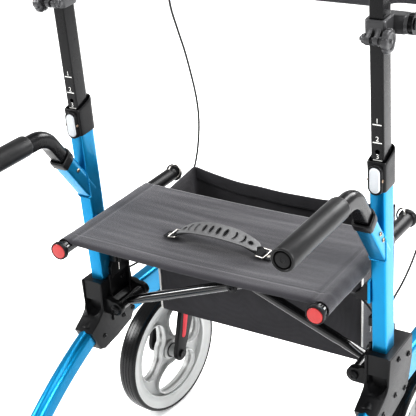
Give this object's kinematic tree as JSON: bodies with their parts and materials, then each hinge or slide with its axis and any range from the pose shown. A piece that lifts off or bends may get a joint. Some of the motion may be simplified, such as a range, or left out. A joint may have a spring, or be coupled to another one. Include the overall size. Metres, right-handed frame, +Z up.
{
  "type": "rollator walker",
  "caption": "Folding walking frame on wheels with a cloth sling seat, cross braces, a bag, forearm rests on height-adjusted stems, a backrest strap and hand brakes.",
  "frame": {"origin": "on the floor under the middle of the walker", "axes": "+X to the user's right, +Y forwards in the direction of travel, +Z up"},
  "size_m": [0.646, 0.7517, 1.208],
  "materials": {
    "frame_paint": "metallic gloss paint",
    "black_plastic": "satin moulded plastic",
    "white_plastic": "gloss moulded plastic",
    "black_paint": "gloss paint on tube",
    "foam": "closed-cell foam",
    "padding": "padded cloth",
    "grip_rubber": "soft moulded rubber",
    "steel": "zinc-plated steel",
    "rim_plastic": "silver moulded plastic",
    "tyre": "soft solid tyre",
    "cable_jacket": "plastic cable jacket",
    "reflector": "red reflector in a black cap",
    "seat_cloth": "woven nylon cloth",
    "bag_cloth": "light woven polyester"
  },
  "bodies": {
    "left_frame": {"left_post": "frame_paint", "left_rear_leg": "frame_paint", "left_front_arm": "frame_paint", "left_junction": "black_plastic", "left_collar": "black_plastic", "left_assist_tube": "black_paint", "left_assist_grip": "foam", "left_brake_carrier": "steel", "left_brake_cable": "cable_jacket"},
    "right_frame": {"right_post": "frame_paint", "right_rear_leg": "frame_paint", "right_front_arm": "frame_paint", "right_junction": "black_plastic", "right_collar": "black_plastic", "right_assist_tube": "black_paint", "right_assist_grip": "foam", "right_brake_carrier": "steel", "right_brake_cable": "cable_jacket"},
    "rear_cross": {"rear_brace": "black_paint", "right_tube_caps": "reflector"},
    "front_cross": {"front_brace": "black_paint", "left_tube_caps": "reflector"},
    "seat": {"seat_sling": "seat_cloth", "seat_handle": "black_plastic", "bag": "bag_cloth"},
    "left_upper": {"left_stem": "black_paint", "left_clamp": "black_plastic", "left_arm_trough": "black_plastic", "left_arm_pad": "padding", "left_handle_tube": "black_paint", "left_hand_grip": "grip_rubber"},
    "left_release": {"left_button": "white_plastic"},
    "left_knob": {"left_clamp_knob": "black_plastic"},
    "left_swing_arm": {"left_backrest_arm": "black_plastic", "backrest_strap": "padding"},
    "left_lever": {"left_brake_lever": "black_plastic"},
    "left_caster": {"left_fork": "black_plastic", "left_front_axle": "steel"},
    "left_front_wheel": {"left_front_rim": "rim_plastic", "left_front_tyre": "tyre"},
    "left_rear_wheel": {"left_rear_rim": "rim_plastic", "left_rear_tyre": "tyre"},
    "left_shoe": {"left_brake_shoe": "black_plastic"},
    "right_upper": {"right_stem": "black_paint", "right_clamp": "black_plastic", "right_arm_trough": "black_plastic", "right_arm_pad": "padding", "right_handle_tube": "black_paint", "right_hand_grip": "grip_rubber"},
    "right_release": {"right_button": "white_plastic"},
    "right_knob": {"right_clamp_knob": "black_plastic"},
    "right_swing_arm": {"right_backrest_arm": "black_plastic"},
    "right_lever": {"right_brake_lever": "black_plastic"},
    "right_caster": {"right_fork": "black_plastic", "right_front_axle": "steel"},
    "right_front_wheel": {"right_front_rim": "rim_plastic", "right_front_tyre": "tyre"},
    "right_rear_wheel": {"right_rear_rim": "rim_plastic", "right_rear_tyre": "tyre"},
    "right_shoe": {"right_brake_shoe": "black_plastic"}
  },
  "joints": [
    {"name": "fold", "type": "hinge", "parent": "left_frame", "child": "rear_cross", "pos_m": [-0.2282, 0.084, 0.3402], "axis": [0, -1, 0], "range_deg": [0, 57], "deforming": ["seat_sling", "seat_handle", "bag", "backrest_strap"]},
    {"name": "fold_centre", "type": "hinge", "parent": "rear_cross", "child": "front_cross", "pos_m": [0, 0.084, 0.4291], "axis": [0, -1, 0], "range_deg": [-114, 0]},
    {"name": "fold_right", "type": "hinge", "parent": "front_cross", "child": "right_frame", "pos_m": [0.2282, 0.084, 0.3402], "axis": [0, -1, 0], "range_deg": [0, 57]},
    {"name": "seat_level", "type": "hinge", "parent": "rear_cross", "child": "seat", "pos_m": [0, 0.084, 0.4291], "axis": [0, -1, 0], "range_deg": [-57, 0]},
    {"name": "left_height", "type": "slide", "parent": "left_frame", "child": "left_upper", "axis": [0, -0.0523, 0.9986], "range_m": [-0.027, 0.081], "deforming": ["left_brake_cable"]},
    {"name": "left_release_press", "type": "hinge", "parent": "left_frame", "child": "left_release", "pos_m": [-0.2676, 0.02466, 0.68666], "axis": [1, 0, 0], "range_deg": [0, 4.5], "stiffness_Nm_per_rad": 0.2},
    {"name": "left_knob_turn", "type": "hinge", "parent": "left_upper", "child": "left_knob", "pos_m": [-0.285, 0.01212, 0.89528], "axis": [1, 0, 0], "continuous": true},
    {"name": "left_backrest_tilt", "type": "hinge", "parent": "left_upper", "child": "left_swing_arm", "pos_m": [-0.306, 0.057, 0.908], "axis": [1, 0, 0], "range_deg": [-20, 20]},
    {"name": "left_lever_pull", "type": "hinge", "parent": "left_upper", "child": "left_lever", "pos_m": [-0.2676, 0.30549, 1.08315], "axis": [1, 0, 0], "range_deg": [0, 12], "stiffness_Nm_per_rad": 1.5, "springref_deg": -5.73},
    {"name": "left_brake", "type": "hinge", "parent": "left_frame", "child": "left_shoe", "pos_m": [-0.297, -0.184, 0.162], "axis": [1, 0, 0], "range_deg": [-2.4, 0]},
    {"name": "left_swivel", "type": "hinge", "parent": "left_frame", "child": "left_caster", "pos_m": [-0.2676, 0.294, 0.311], "axis": [0, 0, 1], "continuous": true},
    {"name": "left_front_spin", "type": "hinge", "parent": "left_caster", "child": "left_front_wheel", "pos_m": [-0.2723, 0.24925, 0.127], "axis": [0.9945, -0.1045, 0], "continuous": true},
    {"name": "left_rear_spin", "type": "hinge", "parent": "left_frame", "child": "left_rear_wheel", "pos_m": [-0.3, -0.2745, 0.1015], "axis": [1, 0, 0], "continuous": true},
    {"name": "right_height", "type": "slide", "parent": "right_frame", "child": "right_upper", "axis": [0, -0.0523, 0.9986], "range_m": [-0.027, 0.081], "deforming": ["right_brake_cable"]},
    {"name": "right_release_press", "type": "hinge", "parent": "right_frame", "child": "right_release", "pos_m": [0.2676, 0.02466, 0.68666], "axis": [1, 0, 0], "range_deg": [0, 4.5], "stiffness_Nm_per_rad": 0.2},
    {"name": "right_knob_turn", "type": "hinge", "parent": "right_upper", "child": "right_knob", "pos_m": [0.285, 0.01212, 0.89528], "axis": [1, 0, 0], "continuous": true},
    {"name": "right_backrest_tilt", "type": "hinge", "parent": "right_upper", "child": "right_swing_arm", "pos_m": [0.306, 0.057, 0.908], "axis": [1, 0, 0], "range_deg": [-20, 20]},
    {"name": "right_lever_pull", "type": "hinge", "parent": "right_upper", "child": "right_lever", "pos_m": [0.2676, 0.30549, 1.08315], "axis": [1, 0, 0], "range_deg": [0, 12], "stiffness_Nm_per_rad": 1.5, "springref_deg": -5.73},
    {"name": "right_brake", "type": "hinge", "parent": "right_frame", "child": "right_shoe", "pos_m": [0.297, -0.184, 0.162], "axis": [1, 0, 0], "range_deg": [-2.4, 0]},
    {"name": "right_swivel", "type": "hinge", "parent": "right_frame", "child": "right_caster", "pos_m": [0.2676, 0.294, 0.311], "axis": [0, 0, 1], "continuous": true},
    {"name": "right_front_spin", "type": "hinge", "parent": "right_caster", "child": "right_front_wheel", "pos_m": [0.2629, 0.24925, 0.127], "axis": [0.9945, -0.1045, 0], "continuous": true},
    {"name": "right_rear_spin", "type": "hinge", "parent": "right_frame", "child": "right_rear_wheel", "pos_m": [0.3, -0.2745, 0.1015], "axis": [1, 0, 0], "continuous": true}
  ],
  "couplings": [
    {"joint": "fold_centre", "follows": "fold", "ratio": -2},
    {"joint": "fold_right", "follows": "fold", "ratio": 1},
    {"joint": "seat_level", "follows": "fold", "ratio": -1},
    {"joint": "left_brake", "follows": "left_lever_pull", "ratio": -0.2},
    {"joint": "right_brake", "follows": "right_lever_pull", "ratio": -0.2},
    {"joint": "right_height", "follows": "left_height", "ratio": 1},
    {"joint": "right_backrest_tilt", "follows": "left_backrest_tilt", "ratio": 1}
  ]
}
